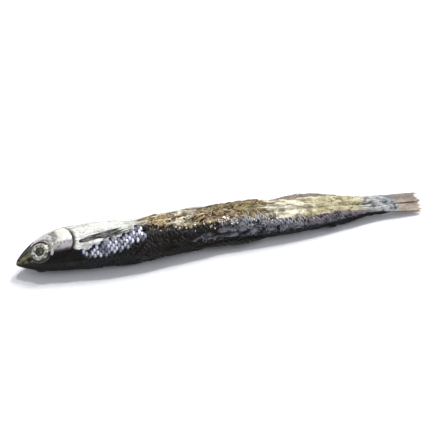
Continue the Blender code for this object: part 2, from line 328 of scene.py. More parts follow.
def linear(hex_colour):
    """The linear red, green, blue and alpha of an sRGB hex colour."""
    shares = [int(hex_colour[i : i + 2], 16) / 255.0 for i in (1, 3, 5)]
    return tuple(s / 12.92 if s <= 0.04045 else ((s + 0.055) / 1.055) ** 2.4 for s in shares) + (1.0,)


def curve_through(x, points_x, points_y):
    """A smooth curve through the given points, read at every x."""
    slopes = np.gradient(points_y, points_x)
    i = np.clip(np.searchsorted(points_x, x) - 1, 0, len(points_x) - 2)
    step = points_x[i + 1] - points_x[i]
    t = np.clip((x - points_x[i]) / step, 0.0, 1.0)
    return (
        (2 * t**3 - 3 * t**2 + 1) * points_y[i]
        + (t**3 - 2 * t**2 + t) * step * slopes[i]
        + (3 * t**2 - 2 * t**3) * points_y[i + 1]
        + (t**3 - t**2) * step * slopes[i + 1]
    )


def section_sizes(along):
    """Back, belly and half width of the body at each place along it."""
    share = np.clip(along, 0.0, STALK_END) / TOTAL_LENGTH
    scales = (BODY_DEPTH, BODY_DEPTH, BODY_WIDTH)
    sizes = [
        scale * np.sqrt(np.clip(curve_through(share, SECTIONS[:, 0], column**2), 0.0, None))
        for scale, column in zip(scales, SECTIONS[:, 1:].T)
    ]
    past = np.clip((along - STALK_END) / (FLESH_LENGTH - STALK_END), 0.0, 1.0)
    return [size * np.sqrt(1.0 - past**2) for size in sizes]


def bump(x, middle, spread):
    return np.exp(-(((x - middle) / spread) ** 2))


def rise(x, start, end):
    """0 before start, 1 after end, smooth between."""
    t = np.clip((x - start) / (end - start), 0.0, 1.0)
    return t * t * (3.0 - 2.0 * t)


def between(x, start, end, fade):
    """1 from start to end, fading to 0 over fade on both sides."""
    return rise(np.minimum(x - start, end - x), -fade, 0.0)


def crown(share):
    """0 at both ends of a share and 1 in its middle, as a plate's section is."""
    return np.clip(1.0 - (2.0 * share - 1.0) ** 2, 0.0, 1.0)


def grain(x, y, z, octaves=3):
    """Fractal noise of about -1 to 1 at each point."""
    x, y, z = np.broadcast_arrays(x, y, z)
    values = [noise.fractal(Vector(p), 0.9, 2.1, octaves) for p in zip(x.ravel(), y.ravel(), z.ravel())]
    return np.reshape(values, x.shape)


def round_body(along, angle, length, girth, octaves=3, shift=0.0):
    """Noise on the body, drawn out lengthwise: length and girth are the size of its features in mm."""
    reach = 0.5 * BODY_WIDTH / girth
    return grain(along / length + shift, reach * np.cos(angle), reach * np.sin(angle), octaves)


def creases(along, angle):
    """Shallow creases that run lengthwise, as dried skin has."""
    fades = between(along, HEAD_LENGTH + 6.0, 134.0, 5.0)
    return WRINKLE_DEPTH * round_body(along, angle, WRINKLE_LENGTH, WRINKLE_GIRTH) * fades


def shrinkage(along, angle):
    """How far the dried skin lies outside the plain section, in mm."""
    cosine = np.cos(angle)
    furrow = -FURROW_DEPTH * bump(cosine, 0.02, 0.15) * between(along, 30.0, 128.0, 12.0)
    hollow = -HOLLOW_DEPTH * bump(cosine, -0.62, 0.22) * between(along, 34.0, 78.0, 10.0)
    nape = -NAPE_DEPTH * bump(along, HEAD_LENGTH + 1.6, 1.7) * bump(cosine, -0.1, 0.75)
    socket_gap = np.hypot(along - EYE_ALONG, 7.0 * (np.abs(angle) - EYE_ANGLE))
    socket = -SOCKET_DEPTH * bump(socket_gap, 0.0, SOCKET_RADIUS)
    torn = np.where(angle > 0.0, TEAR_SWELL, 0.0) * bump(cosine, TEAR_COSINE, 0.24)
    swell = torn * (bump(along, TEAR_ALONG, 4.2) - 0.9 * bump(along, TEAR_ALONG + 11.0, 4.5))
    return furrow + hollow + nape + socket + swell + creases(along, angle)


def skin_point(along, angle, lift=0.0):
    """Places on the skin in the fish's own frame."""
    back, belly, half_width = section_sizes(along)
    cosine, sine = np.cos(angle), np.sin(angle)
    keel = 1.0 + 0.09 * cosine - 0.20 * np.clip(-cosine, 0.0, 1.0) ** 2
    height = np.where(cosine > 0.0, back, belly) * cosine
    out = half_width * keel * np.sign(sine) * np.abs(sine) ** 0.86
    radius = np.hypot(height, out) + 1e-6
    push = (lift + shrinkage(along, angle)) * np.minimum(radius / 2.5, 1.0)
    return along, height * (1.0 + push / radius), out * (1.0 + push / radius)


def lying(along, height, out):
    """The bent and rolled fish, in mm, not yet seated on the ground."""
    height = height - curve_through(along, BODY_LINE[:, 0], BODY_LINE[:, 1])
    out = out - curve_through(along, BODY_LINE[:, 0], BODY_LINE[:, 2])
    x = along - BOX_CENTRE_X
    y = BOX_CENTRE_Y - height * math.cos(ROLL) - out * math.sin(ROLL)
    z = out * math.cos(ROLL) - height * math.sin(ROLL)
    return x, y, z


def seat_height():
    """How far the body's middle line is above the ground, with the lowest flesh pressed flat."""
    along, angle = np.meshgrid(np.linspace(5.0, 130.0, 251), np.linspace(-math.pi, math.pi, 181))
    return -lying(*skin_point(along, angle))[2].min() - PRESSED


SEAT = seat_height()


def place(along, height, out):
    """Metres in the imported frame. What would sink into the ground is pressed flat on it."""
    x, y, z = lying(along, height, out)
    return np.stack([x, y, np.maximum(z + SEAT, 0.0)], axis=-1) * MM


def on_skin(along, angle, lift=0.0):
    return place(*skin_point(along, angle, lift))


def skin_frame(along, angle):
    """A place on the skin and its lengthwise, girthwise and outward directions as rows."""
    step = 0.05
    here = on_skin(np.float64(along), np.float64(angle))
    ahead = Vector(on_skin(np.float64(along + step), np.float64(angle)) - here).normalized()
    beside = Vector(on_skin(np.float64(along), np.float64(angle + step)) - here)
    outward = ahead.cross(beside).normalized()
    if outward.dot(Vector(here) - Vector(place(along, 0.0, 0.0))) < 0.0:
        outward.negate()
    return here, np.array([ahead, outward.cross(ahead), outward])


# Meshes


def points_of(mesh):
    flat = np.empty(len(mesh.vertices) * 3, np.float32)
    mesh.vertices.foreach_get("co", flat)
    return flat.reshape(-1, 3).astype(float)


def move_points(mesh, points):
    mesh.vertices.foreach_set("co", np.ascontiguousarray(points, np.float32).ravel())
    mesh.update()


def store(mesh, name, *shares):
    """Keeps up to three shares for each point, for the material to read."""
    vectors = np.zeros((len(mesh.vertices), 3), np.float32)
    for column, share in enumerate(shares):
        vectors[:, column] = share
    mesh.attributes.new(name, "FLOAT_VECTOR", "POINT").data.foreach_set("vector", vectors.ravel())


def mesh_from(work, name):
    mesh = bpy.data.meshes.new(name)
    work.to_mesh(mesh)
    work.free()
    return mesh


def copies_of(template, count, name):
    """A mesh of many copies of a small shape, and the x, y and z of all their points as they are in it."""
    one = mesh_from(template, "one")
    shape = points_of(one)
    work = bmesh.new()
    for _ in range(count):
        work.from_mesh(one)
    bpy.data.meshes.remove(one)
    return mesh_from(work, name), np.tile(shape.T, count), len(shape)


def face_outwards(mesh):
    """Turns a closed mesh's faces outwards after its points were moved."""
    work = bmesh.new()
    work.from_mesh(mesh)
    bmesh.ops.recalc_face_normals(work, faces=work.faces)
    work.to_mesh(mesh)
    work.free()


def finish_piece(mesh, material):
    """Makes the piece's object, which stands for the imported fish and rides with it."""
    piece = bpy.data.objects.new(mesh.name, mesh)
    bpy.context.scene.collection.objects.link(piece)
    mesh.materials.append(material)
    mesh.shade_smooth()
    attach(piece, "root")
    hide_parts(NODE)
    return piece


def grid_mesh(name, columns, rows):
    """A flat grid with sides of 1, to be bent into a plate or a fin."""
    work = bmesh.new()
    bmesh.ops.create_grid(work, x_segments=columns, y_segments=rows, size=0.5)
    return mesh_from(work, name)


def shares_of(mesh):
    """The shares across and lengthwise, both 0 to 1, of a grid's points that haven't been moved."""
    shares = points_of(mesh) + 0.5
    return shares[:, 0], shares[:, 1]


def make_wall(piece, thickness):
    """Gives a sheet its thickness in mm, half to each side."""
    wall = piece.modifiers.new("wall", "SOLIDIFY")
    wall.thickness = thickness * MM
    wall.offset = 0.0


# Colour zones of the skin


def mouth_angle(along):
    """The angle round the snout where the mouth slit lies."""
    share = (along - MOUTH_START[0]) / (MOUTH_CORNER[0] - MOUTH_START[0])
    height = MOUTH_START[1] + (MOUTH_CORNER[1] - MOUTH_START[1]) * share
    _, belly, _ = section_sizes(along)
    return np.arccos(np.clip(height / np.maximum(belly, 0.3), -0.95, 0.95))


def gill_edge(angle):
    """How far back the gill cover reaches at each angle."""
    turn = (np.abs(angle) - GILL_MID_ANGLE) / GILL_SPAN
    return HEAD_LENGTH - GILL_ROUNDING * np.minimum(turn**2, 1.5)


def beside_gill(turn):
    return between(turn, GILL_MID_ANGLE - GILL_SPAN, GILL_MID_ANGLE + GILL_SPAN, 0.2)


def wander(along, angle):
    """How far the borders between tones wander lengthwise, from -1 to 1."""
    return round_body(along, angle, 16.0, 2.2, 3, 17.0)


def back_edge(along):
    return curve_through(along, BACK_EDGE[:, 0], BACK_EDGE[:, 1])


def zone_masks(along, angle):
    """How much of each tone the skin has at each place, from 0 to 1. The left flank is untorn."""
    turn = np.degrees(np.abs(np.arctan2(np.sin(angle), np.cos(angle))))
    right = np.where(np.sin(angle) > -0.1, 1.0, 0.0)
    exact = along
    along = along + BORDER_WANDER * wander(along, angle) * rise(exact, 28.0, 44.0)
    near = exact + 0.35 * (along - exact)
    ragged = BORDER_RAGGED * round_body(along, angle, 5.0, 2.2, 3, 31.0)
    edge = back_edge(along) + ragged * (0.45 + 0.55 * rise(exact, 20.0, 60.0))
    pale = rise(turn, edge - 7.0, edge + 7.0)
    dark = 1.0 - pale
    patch_low = curve_through(exact, PATCH_EDGE[:, 0], PATCH_EDGE[:, 1])
    patch = rise(turn, patch_low - 9.0, patch_low + 9.0) * between(exact, 23.0, 45.0, 1.5)
    patch = patch * (0.5 + 0.5 * np.maximum(bump(exact, 29.0, 4.5), bump(exact, 41.0, 5.0)))
    stretch = {zone: between(along, *ends) for zone, ends in STRETCHES.items()}
    return {
        "head": pale * rise(exact, 21.5, 19.5),
        "blue": dark * patch,
        "silver": pale * rise(exact, 17.0, 20.0) * rise(along, 54.0, 42.0),
        "brown": dark * stretch["brown"],
        "gold": pale * np.maximum(rise(along, 40.0, 54.0), rise(exact, 50.0, 60.0)),
        "cream": pale * np.maximum(between(along, 59.0, 65.0, 5.0), between(along, 94.0, 110.0, 12.0)),
        "torn": between(near, *STRETCHES["torn"]) * bump(turn, 106.0, 30.0) * right,
        "slate": dark * stretch["slate"] * rise(turn, 10.0, 36.0),
        "green": pale * stretch["green"],
        "ash": rise(near, 124.0, 134.0) * rise(turn + 18.0 * rise(exact, 130.0, 139.0), 22.0, 46.0),
        "net": bump(turn - edge, 0.0, 20.0) * stretch["net"],
        "snout": rise(exact, 9.5, 4.0) * rise(turn, 20.0, 60.0),
        "slit_shade": slit_shade_mask(exact, angle),
        "mauve": bump(turn - edge, -12.0, 15.0) * stretch["mauve"],
    }


def slit_shade_mask(along, angle):
    """Painted shade: the dark lines in the mouth slit and in the gap behind the gill covers."""
    turn = np.abs(np.arctan2(np.sin(angle), np.cos(angle)))
    behind = bump(along - gill_edge(angle), 0.25, 0.9) * beside_gill(turn)
    in_mouth = bump((turn - mouth_angle(along)) * 5.0, 0.0, 0.5)
    return np.maximum(behind, in_mouth * rise(along, MOUTH_CORNER[0] + 1.0, MOUTH_CORNER[0]))


def store_zones(mesh, along, angle):
    masks = zone_masks(along, angle)
    for name, group in ZONE_GROUPS.items():
        store(mesh, name, *(masks[zone] for zone in group))


# Materials


def connect(tree, node, inputs):
    """Sets each of a node's inputs to its value, or links it to the output given."""
    for socket, value in inputs.items():
        if isinstance(value, bpy.types.NodeSocket):
            tree.links.new(value, node.inputs[socket])
        else:
            node.inputs[socket].default_value = value


def add(tree, kind, inputs, output=0, **settings):
    """Adds a node with its settings and links, and gives one of its outputs."""
    node = tree.nodes.new("ShaderNode" + kind)
    for name, value in settings.items():
        setattr(node, name, value)
    connect(tree, node, inputs)
    return node.outputs[output]


def make_finish(name, colours, coats, painted=None, mottles=None, steps=(), bumps=(), **shader_inputs):
    """Makes a material from tables, in which each row gives a name that later rows can use.

    painted: a mesh's attribute and the names of its shares
    mottles: noise, with its feature size in mm, how far it is drawn out lengthwise, detail and roughness
    steps: a share, FADE or an operation of the Math node, and its terms
    coats: a pair of tones with the share that blends them or a single tone with None, the coat's strength
        and the shares that it is laid on with
    bumps: a height, its strength and its depth in mm
    """
    material = bpy.data.materials.new(name)
    material.use_nodes = True
    tree = material.node_tree
    where = add(tree, "TexCoord", {}, "Object")
    known = {}
    for attribute, names in (painted or {}).items():
        vector = add(tree, "Attribute", {}, "Vector", attribute_name=attribute)
        known.update(zip(names, add(tree, "SeparateXYZ", {0: vector}).node.outputs))
    for mottle, (size_mm, drawn_out, detail, roughness) in (mottles or {}).items():
        per_metre = 1.0 / (size_mm * MM)
        scale = (per_metre / drawn_out, per_metre, per_metre)
        vector = add(tree, "Mapping", {"Vector": where, "Scale": scale})
        inputs = {"Vector": vector, "Scale": 1.0, "Detail": detail, "Roughness": roughness}
        known[mottle] = add(tree, "TexNoise", inputs, "Fac")
    for share, operation, *terms in steps:
        inputs = {i: known.get(term, term) for i, term in enumerate(terms)}
        if operation == "FADE":
            known[share] = add(tree, "MapRange", inputs, interpolation_type="SMOOTHSTEP")
        else:
            known[share] = add(tree, "Math", inputs, operation=operation)
    colour = None
    for tone, blend, strength, *shares in coats:
        if blend:
            dark, light = (getattr(colours, tone + end) for end in ("_dark", "_light"))
            laid = add(tree, "Mix", {0: known[blend], 6: dark, 7: light}, 2, data_type="RGBA")
        else:
            laid = getattr(colours, tone)
        for share in shares:
            strength = add(tree, "Math", {0: known[share], 1: strength}, operation="MULTIPLY")
        under = laid if colour is None else colour
        colour = add(tree, "Mix", {0: strength, 6: under, 7: laid}, 2, data_type="RGBA")
    relief = {}
    for height, strength, depth_mm in bumps:
        inputs = {"Strength": strength, "Distance": depth_mm * MM, "Height": known[height], **relief}
        relief = {"Normal": add(tree, "Bump", inputs)}
    shader = {key.replace("_", " "): known.get(value, value) for key, value in shader_inputs.items()}
    connect(tree, tree.nodes["Principled BSDF"], {"Base Color": colour, **relief, **shader})
    return material


def frayed_coats(coats, ragged):
    """The steps and coats of zones whose edges are broken up by noise. Each zone has the share that blends
    its tones, how ragged its edge is and how soft. The zone and its tones have the same name."""
    steps, rows = [], []
    for zone, blend, amount, soft in coats:
        edge = "edge_of_" + zone
        middle = 0.5 + 0.5 * amount
        steps.append((edge, "MULTIPLY_ADD", ragged, amount, zone))
        steps.append((edge, "FADE", edge, middle - soft, middle + soft))
        rows.append((zone, blend, 1.0, edge))
    return steps, rows


def smelt_skin(name, colours):
    """Smoked smelt skin: thin, oily and creased. Silver guanine shows through it on the flank, and smoke has
    browned it, so the eye gets dark, wet tones with small scales that carry painted glints."""
    edges, zones = frayed_coats(
        (
            ("brown", "tone", 1.2, 0.3),
            ("blue", "tone", 0.4, 0.3),
            ("slate", "wisps", 1.2, 0.4),
            ("head", "blotch", 0.5, 0.25),
            ("snout", "blotch", 0.8, 0.4),
            ("silver", "streaks", 0.8, 0.3),
            # Gold and torn skin take the ridge share, with painted light and shade on their crumples
            ("gold", "ridge", 1.2, 0.3),
            ("cream", "blotch", 1.2, 0.3),
            ("green", "mottled", 1.2, 0.35),
            ("torn", "ridge", 1.2, 0.3),
            ("mauve", "blotch", 1.0, 0.4),
            ("ash", "blotch", 1.0, 0.5),
        ),
        "ragged",
    )
    return make_finish(
        name,
        colours,
        painted={"crumple": ("crumpled", "fold"), "scale": ("rear", "spot"), **ZONE_GROUPS},
        mottles={
            "fine": (0.55, 1.5, 4.0, 0.6),
            "broad": (5.0, 2.5, 2.0, 0.6),
            "small": (1.1, 3.0, 4.0, 0.6),
            "large": (3.0, 3.0, 4.0, 0.6),
            "blots": (1.9, 1.5, 5.0, 0.6),
            "lines": (1.5, 5.0, 4.0, 0.6),
            "holes": (2.4, 2.4, 3.0, 0.6),
            "wear": (1.4, 4.0, 3.0, 0.6),
            "drift": (4.2, 1.6, 2.0, 0.4),
            "breaks": (1.3, 1.4, 2.0, 0.6),
            "rust": (2.2, 1.4, 3.0, 0.6),
            "dots": (0.9, 1.0, 1.0, 0.6),
        },
        steps=(
            ("large_part", "MULTIPLY", "large", 0.4),
            ("ragged", "MULTIPLY_ADD", "small", 0.6, "large_part"),
            ("tone", "FADE", "fine", 0.36, 0.64),
            ("blotch", "FADE", "blots", 0.38, 0.6),
            ("smooth", "FADE", "ragged", 0.38, 0.62, 0.15, 0.9),
            ("crest", "FADE", "fold", 0.4, 0.95),
            # ridge blends the gold and torn tones: by noise on smooth skin, and on the crumples as painted
            # light on the crests and painted shade in the hollows
            ("crest_light_part", "MULTIPLY", "crest", "crumpled"),
            ("calm", "SUBTRACT", 1.0, "crumpled"),
            ("ridge", "MULTIPLY_ADD", "smooth", "calm", "crest_light_part"),
            ("half_tone", "MULTIPLY", "tone", 0.5),
            ("streak", "FADE", "lines", 0.34, 0.54),
            ("streaks", "MULTIPLY_ADD", "streak", 0.5, "half_tone"),
            ("wisp", "MULTIPLY", "blotch", "streaks"),
            ("wisps", "MULTIPLY", "wisp", 1.2),
            ("some_tone", "MULTIPLY", "tone", 0.45),
            ("mottled", "MULTIPLY_ADD", "blotch", 0.55, "some_tone"),
            *edges,
            ("gaps", "FADE", "holes", 0.47, 0.57),
            ("crest_highlights", "FADE", "fold", 0.82, 0.97),
            # Share towards each scale's raised rear edge, which gets its pale tone and a painted highlight
            ("rim", "FADE", "rear", 0.5, 1.0),
            ("patchy", "FADE", "broad", 0.4, 0.6, 0.12, 0.8),
            ("lengthwise", "FADE", "wear", 0.42, 0.58, 0.1, 1.0),
            ("on_line", "COMPARE", "drift", 0.5, 0.012),
            ("inner_slate", "FADE", "slate", 0.3, 0.9),
            ("inner_blue", "FADE", "blue", 0.1, 0.7),
            # Painted glints: a bright oval on each scale of the shoulder's patch, stronger in its middle
            ("painted_glint_share", "MULTIPLY", "spot", "inner_blue"),
            ("shine", "MULTIPLY_ADD", "painted_glint_share", 0.3, 0.05),
            ("pits", "FADE", "breaks", 0.63, 0.70),
            ("rusty", "FADE", "rust", 0.6, 0.68),
            ("specks", "FADE", "dots", 0.66, 0.74),
            ("wet", "FADE", "broad", 0.3, 0.7, 0.3, 0.55),
        ),
        coats=(
            ("back", "tone", 1.0),
            *zones,
            # Dark patches at random over the crumpled skin, and painted highlights on the crests of its
            # crumples
            ("torn_dark", None, 1.1, "gaps", "crumpled"),
            ("pale_flesh_and_crest_highlight", None, 0.5, "crest_highlights", "crumpled"),
            # Each scale's pale rear edge with a painted highlight on it, thin pale lines over the rear back,
            # and painted glints on the scales of the shoulder
            ("rim", None, 0.09, "rim"),
            ("rim", None, 1.0, "rim", "patchy", "lengthwise", "slate"),
            ("net", None, 0.9, "rim", "net"),
            ("rim", None, 0.35, "on_line", "inner_slate"),
            ("glint", None, 1.0, "painted_glint_share"),
            # Dark pits where the skin has broken and rusty spots, most of them towards the tail
            ("pit", None, 0.8, "pits", "green"),
            ("pit", None, 0.35, "pits"),
            ("torn_light", None, 0.75, "rusty", "green"),
            ("speck", None, 0.8, "specks", "silver"),
            # Painted shade in the mouth slit and in the gap behind the gill covers
            ("pit", None, 0.92, "slit_shade"),
        ),
        bumps=(("fine", 0.5, 0.12), ("ragged", 0.5, 0.3)),
        Metallic="shine",
        Roughness="wet",
        Specular_IOR_Level=0.14,
        Coat_Weight=0.05,
        Coat_Roughness=0.1,
    )


def gill_bone(name, colours):
    """Gill cover: thin bone under a pearly skin. It is smooth and silver grey, with a mauve sheen and a
    painted highlight on its rear part.
    """
    spots = ("bone_silver_and_highlight", "bone_mauve", "bone_edge")
    edges, zones = frayed_coats([(spot, None, 1.6, 0.5) for spot in spots], "mottle")
    return make_finish(
        name,
        colours,
        painted={"spot": spots},
        mottles={"mottle": (1.3, 1.0, 5.0, 0.7), "fine": (0.4, 1.0, 4.0, 0.6)},
        steps=(
            ("cloudy", "FADE", "mottle", 0.38, 0.62),
            ("wet", "FADE", "mottle", 0.3, 0.7, 0.26, 0.42),
            *edges,
        ),
        coats=(("bone", "cloudy", 1.0), *zones),
        bumps=(("fine", 0.4, 0.1),),
        Metallic=0.12,
        Roughness="wet",
        Coat_Weight=0.3,
        Coat_Roughness=0.14,
    )


def dried_fin(name, colours):
    """Fin membrane and rays: dried thin and browned. The rays are paler than the skin between them."""
    return make_finish(
        name,
        colours,
        painted={"ray": ("on_ray", "root", "black")},
        mottles={"fine": (0.5, 3.0, 4.0, 0.6), "broad": (2.2, 1.5, 4.0, 0.6)},
        steps=(
            ("cloudy", "FADE", "broad", 0.35, 0.65),
            ("ridge", "MULTIPLY_ADD", "fine", 0.5, "on_ray"),
            ("ridges", "FADE", "ridge", 0.45, 0.95),
            ("wet", "FADE", "broad", 0.3, 0.7, 0.38, 0.6),
        ),
        coats=(
            ("web", "cloudy", 1.0),
            ("ray", "cloudy", 1.0, "ridges"),
            ("fin_root", None, 1.0, "root"),
            ("fin_black", None, 1.0, "black"),
        ),
        bumps=(("fine", 0.5, 0.1),),
        Roughness="wet",
        Coat_Weight=0.2,
        Coat_Roughness=0.25,
    )


def two_toned(name, colours, pair, mottle_mm, roughness, metallic=0.0, coat=0.5):
    """A dried eye's black ball, pearly iris, clouded lens or skin fold, or a scale that has come off: small
    and still wet, so the eye gets two tones under a sharp glint."""
    return make_finish(
        name,
        colours,
        mottles={"mottle": (mottle_mm, 1.0, 4.0, 0.6)},
        steps=(("cloudy", "FADE", "mottle", 0.38, 0.62),),
        coats=((pair, "cloudy", 1.0),),
        bumps=(("mottle", 0.4, 0.1),),
        Metallic=metallic,
        Roughness=roughness,
        Coat_Weight=coat,
        Coat_Roughness=0.12,
    )


def dried_flesh(name, colours):
    """Torn flesh: short dried muscle fibres, oily and browned by smoke from golden to rust."""
    return make_finish(
        name,
        colours,
        painted={"tint": ("each", "fibrous")},
        mottles={"fine": (0.5, 2.0, 4.0, 0.6)},
        steps=(
            ("lighter", "FADE", "each", 0.0, 0.7),
            ("palest", "FADE", "each", 0.75, 0.95),
            ("shaded", "FADE", "fine", 0.55, 0.35),
        ),
        coats=(
            ("crumb", "each", 1.0),
            ("fibre", "lighter", 1.0, "fibrous"),
            ("pale_flesh_and_crest_highlight", None, 1.0, "palest", "fibrous"),
            ("torn_dark", None, 1.0, "shaded"),
        ),
        bumps=(("fine", 0.6, 0.15),),
        Roughness=0.42,
        Coat_Weight=0.4,
        Coat_Roughness=0.2,
    )


def studio_paper(name, colours):
    """Matt white background paper: no gloss, with a faint tooth."""
    return make_finish(
        name,
        colours,
        mottles={"tooth": (1.5, 1.0, 2.0, 0.6)},
        steps=(("faint", "FADE", "tooth", 0.3, 0.7),),
        coats=(("paper", "faint", 1.0),),
        Roughness=0.9,
        Specular_IOR_Level=0.1,
    )


def material_of(name, make, *tones):
    """The named material, made once."""
    return bpy.data.materials.get(name) or make(name, bpy.context.scene.fish_colours, *tones)


# Skin


def crumple(along, angle):
    """Sharp little ridges of crumpled skin, from -1 to 1."""
    return 1.0 - 3.2 * np.abs(round_body(along, angle, 3.0, 1.5, 2, 3.0))


def crumpled_part(along, angle):
    """How much the skin is crumpled: along the torn side of the belly, and a little on the rest of it."""
    turn = np.degrees(np.abs(angle))
    right = np.where(np.sin(angle) > -0.1, 1.0, 0.35)
    return between(along, 49.0, 77.0, 9.0) * bump(turn, 112.0, 34.0) * right


def skin_relief(along, angle, wrinkle_depth):
    """The finer relief of the skin over the solid's form, in mm."""
    turn = np.abs(angle)
    _, height, out = skin_point(along, angle)
    slit_gap = (turn - mouth_angle(along)) * np.hypot(height, out)
    mouth_part = rise(along, MOUTH_CORNER[0] + 0.6, MOUTH_CORNER[0] - 1.0)
    behind_gill = along - gill_edge(angle)
    nostril_gap = np.hypot(along - NOSTRIL_ALONG, 4.0 * (turn - math.radians(58.0)))
    chevron = np.cos(2.0 * math.pi * (along + 3.2 * np.abs(np.cos(angle))) / MUSCLE_SPACING)
    reliefs = {
        "scale bed": -SCALE_BED_DEPTH * between(along, SCALES_FROM, SCALES_TO, 2.0),
        "wrinkles": wrinkle_depth * round_body(along, angle, 5.0, 0.8, 3, 7.0),
        "mouth": -SLIT_DEPTH * bump(slit_gap, 0.0, 0.42) * mouth_part,
        "gill gap": -GILL_GAP_DEPTH * bump(behind_gill, -0.25, 0.7) * beside_gill(turn),
        "shoulder": SHOULDER_HEIGHT * bump(behind_gill, 1.3, 0.7) * beside_gill(turn),
        "nostrils": -NOSTRIL_DEPTH * bump(nostril_gap, 0.0, 0.38),
        "throat": THROAT_DEPTH * np.cos(turn * 34.0) * rise(turn, 2.4, 2.7) * between(along, 6.0, 20.0, 3.0),
        "skull": SKULL_HEIGHT * np.cos(turn * 9.0) * rise(turn, 0.9, 0.3) * between(along, 5.0, 18.0, 4.0),
        "muscles": MUSCLE_HEIGHT * chevron * between(along, 66.0, 128.0, 8.0),
        "crumples": CRUMPLE_HEIGHT * crumpled_part(along, angle) * crumple(along, angle),
        "stalk": -STALK_TAPER * rise(along, 131.0, 139.5) * np.abs(np.sin(angle)) ** 2,
        "rays": RAY_ROOT_HEIGHT * np.cos(26.0 * np.cos(angle)) * rise(along, 132.0, 136.0),
    }
    return sum(reliefs.values())


class FISH_OT_skin(bpy.types.Operator):
    """Makes the whole skin, from the lips to the end of the tail stalk."""

    bl_idname = "fish.skin"
    bl_label = "Skin"

    def execute(self, context):
        work = bmesh.new()
        bmesh.ops.create_uvsphere(work, u_segments=SKIN_AROUND, v_segments=SKIN_RINGS, radius=1.0)
        mesh = mesh_from(work, "skin")
        ball = points_of(mesh)
        along = FLESH_LENGTH * (np.arccos(np.clip(ball[:, 2], -1.0, 1.0)) / math.pi) ** HEAD_CROWDING
        angle = np.arctan2(ball[:, 1], ball[:, 0])
        relief = skin_relief(along, angle, context.scene.fish_sizes.wrinkle_depth / MM)
        move_points(mesh, on_skin(along, angle, relief))
        face_outwards(mesh)
        store_zones(mesh, along, angle)
        store(mesh, "crumple", crumpled_part(along, angle), 0.5 + 0.5 * crumple(along, angle))
        finish_piece(mesh, material_of("smoked_smelt_skin", smelt_skin))
        return {"FINISHED"}


# Scales


def girth_at(along):
    back, belly, half_width = section_sizes(along)
    return math.pi * (0.5 * (back + belly) + half_width)


def scale_centres(rng):
    """Each scale's place along and round the body and its size, in rings that are set off by half a scale."""
    centres = []
    row, along = 0, SCALES_FROM
    while along < SCALES_TO:
        size = girth_at(np.float64(along)) / SCALES_AROUND
        for column in range(SCALES_AROUND):
            angle = 2.0 * math.pi * (column + 0.5 * (row % 2)) / SCALES_AROUND - math.pi
            centres.append((along, angle, size))
        row, along = row + 1, along + SCALE_STEP * size
    centres = np.array(centres)
    centres[:, 0] += rng.uniform(-0.07, 0.07, len(centres)) * centres[:, 2]
    return centres


def kept_scales(centres, rng):
    """Which scales are still on the fish, in patches, and not below the gill covers."""
    along, angle, _ = centres.T
    turn = np.abs(angle)
    masks = zone_masks(along, angle)
    loss = sum(masks[zone] * share for zone, share in SCALE_LOSS.items()) + 1.4 * rise(along, *LAST_SCALES)
    patchy = rise(round_body(along, angle, 5.0, 2.6, 2, 5.0), -0.12, 0.12)
    worn = np.clip(0.02 + loss * (0.15 + 0.85 * patchy) + rise(loss, 1.0, 1.3), 0.0, 1.0)
    hidden = (turn > 3.0) | ((along < gill_edge(angle) + 2.2) & (turn > 0.5))
    return (rng.uniform(size=len(centres)) > worn) & ~hidden


class FISH_OT_scales(bpy.types.Operator):
    """Makes the scales as thin lenses that overlap like roof tiles, each with its rear edge raised."""

    bl_idname = "fish.scales"
    bl_label = "Scales"

    def execute(self, context):
        rng = np.random.default_rng(SCALE_SEED)
        centres = scale_centres(rng)
        centres = centres[kept_scales(centres, rng)]
        count = len(centres)
        if not count:
            raise RuntimeError("no scale is left on the skin")
        template = bmesh.new()
        lens = {"segments": SCALE_SIDES, "radius1": 1.0, "radius2": 0.74, "depth": 1.0}
        bmesh.ops.create_cone(template, cap_ends=True, cap_tris=True, **lens)
        middle = [face for face in template.faces if face.normal.z > 0.9]
        bmesh.ops.inset_region(template, faces=middle, thickness=0.3)
        mesh, (ahead, aside, top), points = copies_of(template, count, "scales")
        along, angle, size = (np.repeat(column, points) for column in centres.T)
        tilt, shift, glow = (np.repeat(rng.uniform(size=count), points) for _ in range(3))
        reach = SCALE_REACH * size
        _, height, out = skin_point(along, angle)
        place_along = along + reach * ahead
        place_angle = angle + 0.92 * reach * aside / np.hypot(height, out)
        stand = context.scene.fish_sizes.scale_stand / MM
        lift = -0.13 + (stand + 0.10 * (tilt - 0.5)) * 0.5 * (ahead + 1.0) + 0.05 * (shift - 0.5)
        lift += 0.03 * (1.0 - np.hypot(ahead, aside)) + 0.035 * np.sign(top)
        move_points(mesh, on_skin(place_along, place_angle, lift))
        face_outwards(mesh)
        store_zones(mesh, along, angle)
        # The second share paints a glint on each scale: a bright oval on its rear part, of random strength
        rear = np.hypot(ahead, aside) * np.clip(0.6 + 0.6 * ahead, 0.0, 1.0)
        spot = np.hypot((ahead - 0.5) / 0.42, aside / 0.62)
        store(mesh, "scale", rear, (0.2 + 0.8 * rise(glow, 0.2, 0.8)) * rise(spot, 1.2, 0.7))
        finish_piece(mesh, material_of("smoked_smelt_skin", smelt_skin))
        return {"FINISHED"}


# Head


def around_eye(side, radius, turn, lift):
    """A place beside the eye, with turn 0 towards the tail and a quarter turn towards the belly."""
    along = EYE_ALONG + radius * np.cos(turn)
    _, height, out = skin_point(np.float64(EYE_ALONG), np.float64(EYE_ANGLE))
    angle = EYE_ANGLE + radius * np.sin(turn) / math.hypot(height, out)
    return on_skin(along, side * angle, lift)


